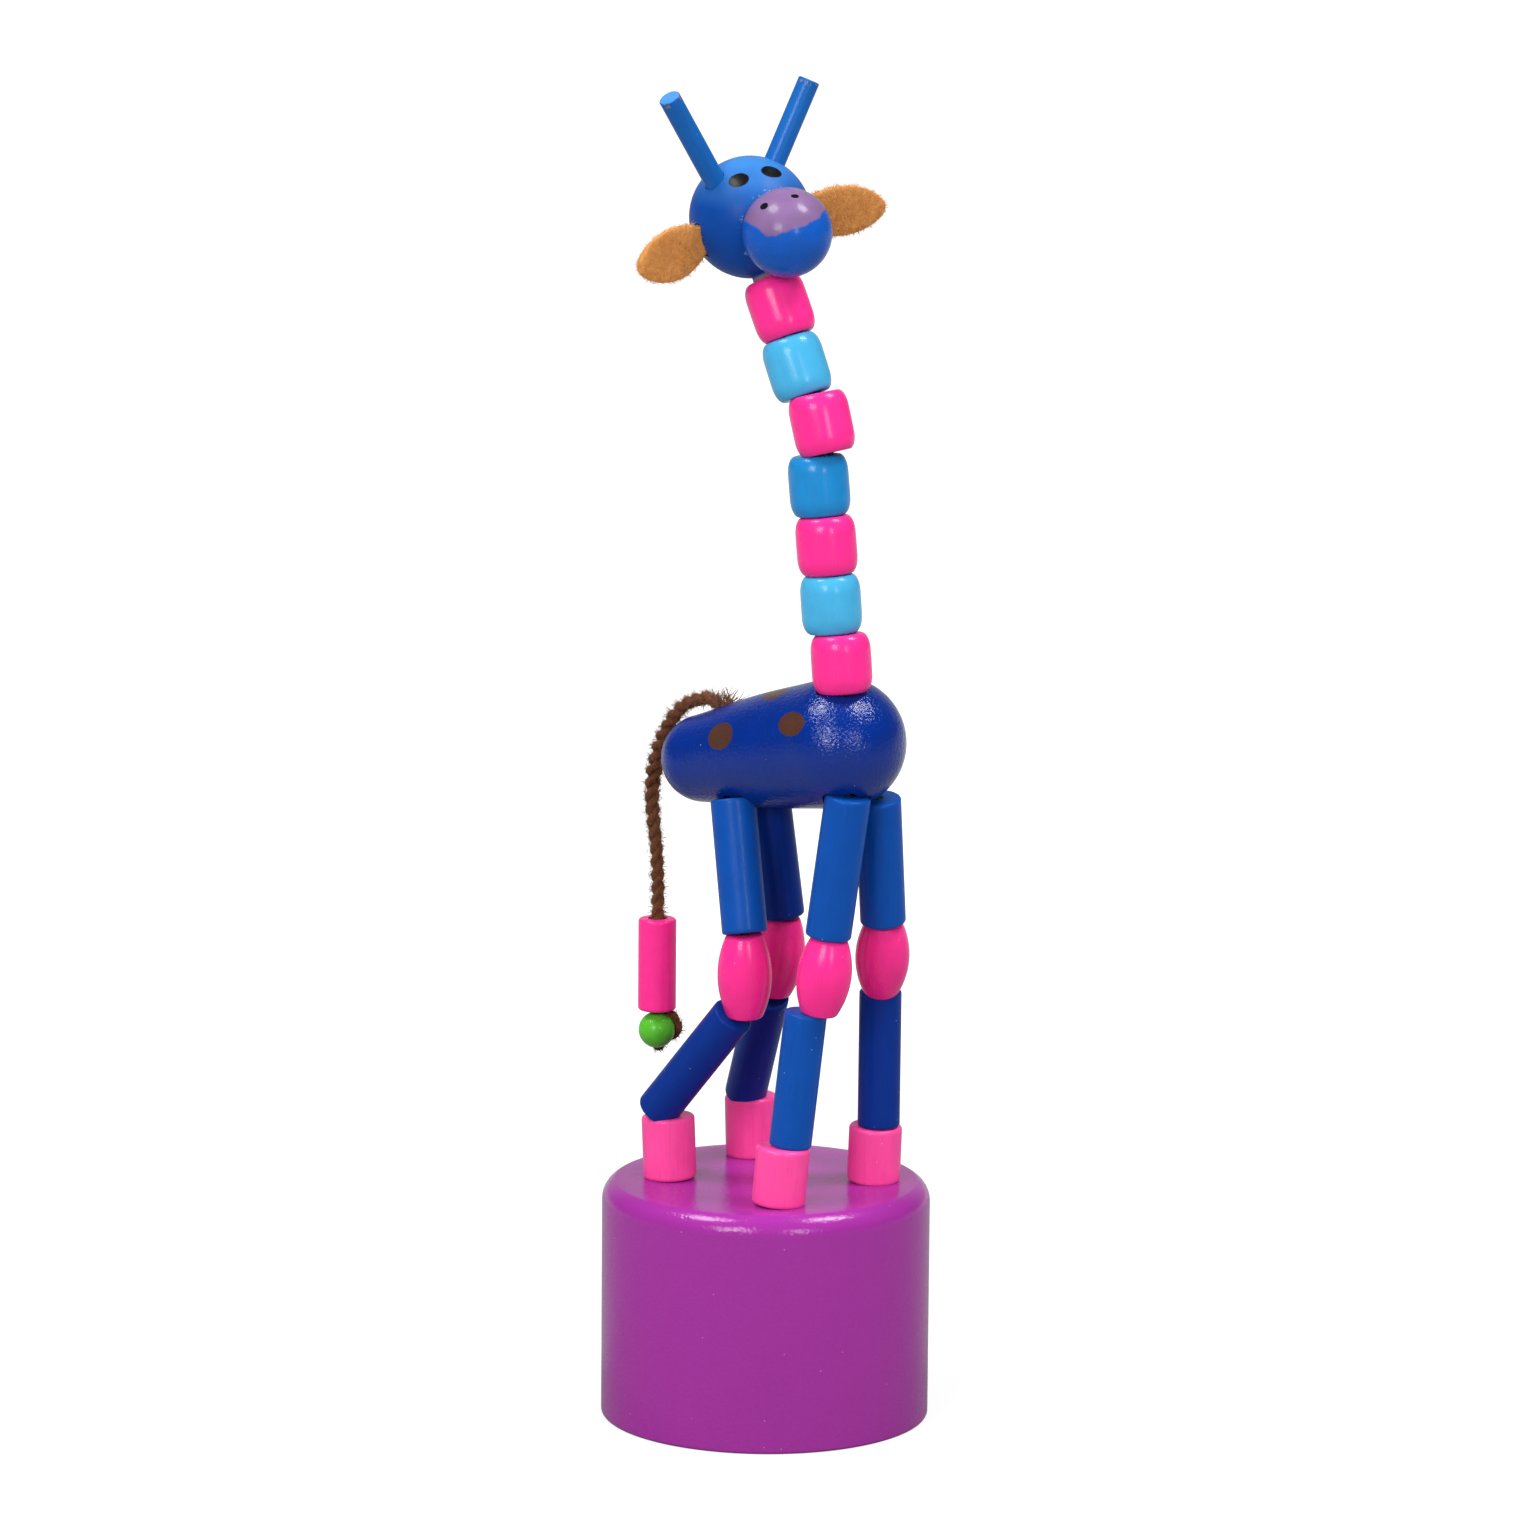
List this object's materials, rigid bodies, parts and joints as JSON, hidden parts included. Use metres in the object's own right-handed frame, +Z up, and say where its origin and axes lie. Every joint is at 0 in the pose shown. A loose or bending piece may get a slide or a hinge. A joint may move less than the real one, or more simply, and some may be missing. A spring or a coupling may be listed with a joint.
{
  "type": "thumb push puppet",
  "caption": "Giraffe push puppet of turned wooden beads strung over a drum base; pushing the button under the base slackens the strings so legs and neck fold.",
  "frame": {"origin": "centre of the base's underside, which is what it stands on", "axes": "+Z up, +X the way the giraffe faces, +Y to its left"},
  "size_m": [0.0428, 0.0425, 0.1724],
  "materials": {
    "purple": "gloss paint",
    "pink": "gloss paint",
    "body_blue": "high gloss paint",
    "leg_blue": "satin paint",
    "head_blue": "gloss paint",
    "light_blue": "gloss paint",
    "mid_blue": "gloss paint",
    "green": "gloss paint",
    "felt": "napped felt",
    "yarn": "two-ply yarn",
    "bare_wood": "bare",
    "steel": "drawn wire",
    "string": "braided cord"
  },
  "bodies": {
    "base": {"base": "purple", "return_spring": "steel", "string_front_left": "string", "string_front_right": "string", "string_rear_left": "string", "string_rear_right": "string"},
    "button": {"push_button": "bare_wood"},
    "hoof_front_left": {"hoof_front_left": "pink"},
    "shin_front_left": {"shin_front_left": "leg_blue"},
    "knee_front_left": {"knee_front_left": "pink"},
    "thigh_front_left": {"thigh_front_left": "leg_blue"},
    "hoof_front_right": {"hoof_front_right": "pink"},
    "shin_front_right": {"shin_front_right": "leg_blue"},
    "knee_front_right": {"knee_front_right": "pink"},
    "thigh_front_right": {"thigh_front_right": "leg_blue"},
    "hoof_rear_left": {"hoof_rear_left": "pink"},
    "shin_rear_left": {"shin_rear_left": "leg_blue"},
    "knee_rear_left": {"knee_rear_left": "pink"},
    "thigh_rear_left": {"thigh_rear_left": "leg_blue"},
    "hoof_rear_right": {"hoof_rear_right": "pink"},
    "shin_rear_right": {"shin_rear_right": "leg_blue"},
    "knee_rear_right": {"knee_rear_right": "pink"},
    "thigh_rear_right": {"thigh_rear_right": "leg_blue"},
    "body": {"body": "body_blue", "tail_yarn_root": "yarn"},
    "neck_bead_1": {"neck_bead_1": "pink"},
    "neck_bead_2": {"neck_bead_2": "light_blue"},
    "neck_bead_3": {"neck_bead_3": "pink"},
    "neck_bead_4": {"neck_bead_4": "mid_blue"},
    "neck_bead_5": {"neck_bead_5": "pink"},
    "neck_bead_6": {"neck_bead_6": "light_blue"},
    "neck_bead_7": {"neck_bead_7": "pink"},
    "head": {"head_ball": "head_blue", "muzzle_ball": "head_blue", "horn_left": "head_blue", "horn_right": "head_blue", "ear_left": "felt", "ear_right": "felt"},
    "tail": {"tail_yarn": "yarn", "tail_bead": "pink", "tail_ball": "green"}
  },
  "joints": [
    {"name": "button_press", "type": "slide", "parent": "base", "child": "button", "axis": [0, 0, 1], "range_m": [0, 0.008], "stiffness_N_per_m": 100, "springref_m": 0.00035, "deforming": ["return_spring", "string_front_left", "string_front_right", "string_rear_left", "string_rear_right"]},
    {"name": "hoof_front_left_roll", "type": "hinge", "parent": "base", "child": "hoof_front_left", "pos_m": [0.01365, 0.00883, 0.03085], "axis": [0, 1, 0], "range_deg": [0, 3], "stiffness_Nm_per_rad": 0.0044, "springref_deg": 0.04},
    {"name": "shin_front_left_roll", "type": "hinge", "parent": "base", "child": "shin_front_left", "pos_m": [0.01382, 0.00874, 0.03798], "axis": [0, 1, 0], "range_deg": [0, 51.8], "stiffness_Nm_per_rad": 0.13, "springref_deg": 0.19},
    {"name": "knee_front_left_roll", "type": "hinge", "parent": "shin_front_left", "child": "knee_front_left", "pos_m": [0.00974, 0.00804, 0.05622], "axis": [0, 1, 0], "range_deg": [-65.8, 0], "stiffness_Nm_per_rad": 0.095, "springref_deg": 0.16},
    {"name": "thigh_front_left_roll", "type": "hinge", "parent": "knee_front_left", "child": "thigh_front_left", "pos_m": [0.01267, 0.00498, 0.06613], "axis": [0, 1, 0], "range_deg": [-54.9, 0], "stiffness_Nm_per_rad": 0.078, "springref_deg": 0.34},
    {"name": "hoof_front_right_roll", "type": "hinge", "parent": "base", "child": "hoof_front_right", "pos_m": [0.01345, -0.00886, 0.03088], "axis": [0, 1, 0], "range_deg": [0, 3], "stiffness_Nm_per_rad": 0.0044, "springref_deg": 0.05},
    {"name": "shin_front_right_roll", "type": "hinge", "parent": "base", "child": "shin_front_right", "pos_m": [0.01332, -0.00815, 0.03794], "axis": [0, 1, 0], "range_deg": [0, 48.1], "stiffness_Nm_per_rad": 0.0033, "springref_deg": -0.09},
    {"name": "knee_front_right_roll", "type": "hinge", "parent": "shin_front_right", "child": "knee_front_right", "pos_m": [0.01106, -0.00658, 0.05583], "axis": [0, 1, 0], "range_deg": [-56.1, 0], "stiffness_Nm_per_rad": 0.0013, "springref_deg": -0.59},
    {"name": "thigh_front_right_roll", "type": "hinge", "parent": "knee_front_right", "child": "thigh_front_right", "pos_m": [0.01306, -0.00586, 0.06571], "axis": [0, 1, 0], "range_deg": [-55.3, 0], "stiffness_Nm_per_rad": 0.00045, "springref_deg": -0.69},
    {"name": "hoof_rear_left_roll", "type": "hinge", "parent": "base", "child": "hoof_rear_left", "pos_m": [-0.00675, 0.00875, 0.03092], "axis": [0, 1, 0], "range_deg": [0, 3], "stiffness_Nm_per_rad": 0.0044, "springref_deg": 0.05},
    {"name": "shin_rear_left_roll", "type": "hinge", "parent": "base", "child": "shin_rear_left", "pos_m": [-0.0077, 0.00825, 0.0381], "axis": [0, 1, 0], "range_deg": [0, 35.8], "stiffness_Nm_per_rad": 0.0033, "springref_deg": -0.52},
    {"name": "knee_rear_left_roll", "type": "hinge", "parent": "shin_rear_left", "child": "knee_rear_left", "pos_m": [-0.00393, 0.00232, 0.05502], "axis": [0, 1, 0], "range_deg": [-37.8, 0], "stiffness_Nm_per_rad": 0.0012, "springref_deg": -0.5},
    {"name": "thigh_rear_left_roll", "type": "hinge", "parent": "knee_rear_left", "child": "thigh_rear_left", "pos_m": [-0.00208, 0.0024, 0.06493], "axis": [0, 1, 0], "range_deg": [-45.5, 0], "stiffness_Nm_per_rad": 0.00045, "springref_deg": -0.41},
    {"name": "hoof_rear_right_roll", "type": "hinge", "parent": "base", "child": "hoof_rear_right", "pos_m": [-0.0064, -0.00828, 0.03097], "axis": [0, 1, 0], "range_deg": [0, 3], "stiffness_Nm_per_rad": 0.0044, "springref_deg": 0.05},
    {"name": "shin_rear_right_roll", "type": "hinge", "parent": "base", "child": "shin_rear_right", "pos_m": [-0.00763, -0.00858, 0.03806], "axis": [0, 1, 0], "range_deg": [0, 23.6], "stiffness_Nm_per_rad": 0.0034, "springref_deg": -0.73},
    {"name": "knee_rear_right_roll", "type": "hinge", "parent": "shin_rear_right", "child": "knee_rear_right", "pos_m": [0.00006, -0.00824, 0.05451], "axis": [0, 1, 0], "range_deg": [-19.6, 0], "stiffness_Nm_per_rad": 0.0012, "springref_deg": -0.36},
    {"name": "thigh_rear_right_roll", "type": "hinge", "parent": "knee_rear_right", "child": "thigh_rear_right", "pos_m": [0.00139, -0.00867, 0.06442], "axis": [0, 1, 0], "range_deg": [-43.6, 0], "stiffness_Nm_per_rad": 0.00045, "springref_deg": -0.14},
    {"name": "body_roll", "type": "hinge", "parent": "thigh_front_left", "child": "body", "pos_m": [0.01736, 0.00214, 0.08061], "axis": [0, 1, 0], "range_deg": [0, 72.9], "stiffness_Nm_per_rad": 0.056, "springref_deg": 0.64},
    {"name": "neck_bead_1_roll", "type": "hinge", "parent": "body", "child": "neck_bead_1", "pos_m": [0.01818, -0.00406, 0.09667], "axis": [0, 1, 0], "range_deg": [0, 10], "stiffness_Nm_per_rad": 0.000164, "springref_deg": 1.22},
    {"name": "neck_bead_2_roll", "type": "hinge", "parent": "body", "child": "neck_bead_2", "pos_m": [0.01808, -0.00413, 0.10036], "axis": [0, 1, 0], "range_deg": [0, 20], "stiffness_Nm_per_rad": 0.000262, "springref_deg": 1.22},
    {"name": "neck_bead_3_roll", "type": "hinge", "parent": "body", "child": "neck_bead_3", "pos_m": [0.01807, -0.00421, 0.1041], "axis": [0, 1, 0], "range_deg": [0, 30], "stiffness_Nm_per_rad": 0.000309, "springref_deg": 1.22},
    {"name": "neck_bead_4_roll", "type": "hinge", "parent": "body", "child": "neck_bead_4", "pos_m": [0.01829, -0.00429, 0.10787], "axis": [0, 1, 0], "range_deg": [0, 40], "stiffness_Nm_per_rad": 0.000394, "springref_deg": 1.22},
    {"name": "neck_bead_5_roll", "type": "hinge", "parent": "body", "child": "neck_bead_5", "pos_m": [0.01895, -0.0044, 0.11172], "axis": [0, 1, 0], "range_deg": [0, 50], "stiffness_Nm_per_rad": 0.000415, "springref_deg": 1.19},
    {"name": "neck_bead_6_roll", "type": "hinge", "parent": "body", "child": "neck_bead_6", "pos_m": [0.01967, -0.00464, 0.11572], "axis": [0, 1, 0], "range_deg": [0, 60], "stiffness_Nm_per_rad": 0.000687, "springref_deg": 1.22},
    {"name": "neck_bead_7_roll", "type": "hinge", "parent": "body", "child": "neck_bead_7", "pos_m": [0.02028, -0.00497, 0.11986], "axis": [0, 1, 0], "range_deg": [0, 70], "stiffness_Nm_per_rad": 0.000873, "springref_deg": 1.22},
    {"name": "head_roll", "type": "hinge", "parent": "body", "child": "head", "pos_m": [0.02096, -0.00532, 0.12407], "axis": [0, 1, 0], "range_deg": [0, 80], "stiffness_Nm_per_rad": 0.0123, "springref_deg": 1.22},
    {"name": "tail_swing", "type": "hinge", "parent": "body", "child": "tail", "pos_m": [-0.01323, -0.004, 0.09061], "axis": [0, 1, 0], "range_deg": [0, 45]}
  ],
  "couplings": [
    {"joint": "hoof_front_left_roll", "follows": "button_press", "rad_per_m": 6.5449},
    {"joint": "shin_front_left_roll", "follows": "button_press", "rad_per_m": 113.01},
    {"joint": "knee_front_left_roll", "follows": "button_press", "rad_per_m": -143.55},
    {"joint": "thigh_front_left_roll", "follows": "button_press", "rad_per_m": -119.77},
    {"joint": "hoof_front_right_roll", "follows": "button_press", "rad_per_m": 6.5449},
    {"joint": "shin_front_right_roll", "follows": "button_press", "rad_per_m": 104.94},
    {"joint": "knee_front_right_roll", "follows": "button_press", "rad_per_m": -122.39},
    {"joint": "thigh_front_right_roll", "follows": "button_press", "rad_per_m": -120.65},
    {"joint": "hoof_rear_left_roll", "follows": "button_press", "rad_per_m": 6.5449},
    {"joint": "shin_rear_left_roll", "follows": "button_press", "rad_per_m": 78.103},
    {"joint": "knee_rear_left_roll", "follows": "button_press", "rad_per_m": -82.467},
    {"joint": "thigh_rear_left_roll", "follows": "button_press", "rad_per_m": -99.266},
    {"joint": "hoof_rear_right_roll", "follows": "button_press", "rad_per_m": 6.5449},
    {"joint": "shin_rear_right_roll", "follows": "button_press", "rad_per_m": 51.487},
    {"joint": "knee_rear_right_roll", "follows": "button_press", "rad_per_m": -42.761},
    {"joint": "thigh_rear_right_roll", "follows": "button_press", "rad_per_m": -95.12},
    {"joint": "body_roll", "follows": "button_press", "rad_per_m": 159.04},
    {"joint": "neck_bead_1_roll", "follows": "button_press", "rad_per_m": 21.817},
    {"joint": "neck_bead_2_roll", "follows": "button_press", "rad_per_m": 43.633},
    {"joint": "neck_bead_3_roll", "follows": "button_press", "rad_per_m": 65.45},
    {"joint": "neck_bead_4_roll", "follows": "button_press", "rad_per_m": 87.266},
    {"joint": "neck_bead_5_roll", "follows": "button_press", "rad_per_m": 109.08},
    {"joint": "neck_bead_6_roll", "follows": "button_press", "rad_per_m": 130.9},
    {"joint": "neck_bead_7_roll", "follows": "button_press", "rad_per_m": 152.72},
    {"joint": "head_roll", "follows": "button_press", "rad_per_m": 174.53}
  ]
}
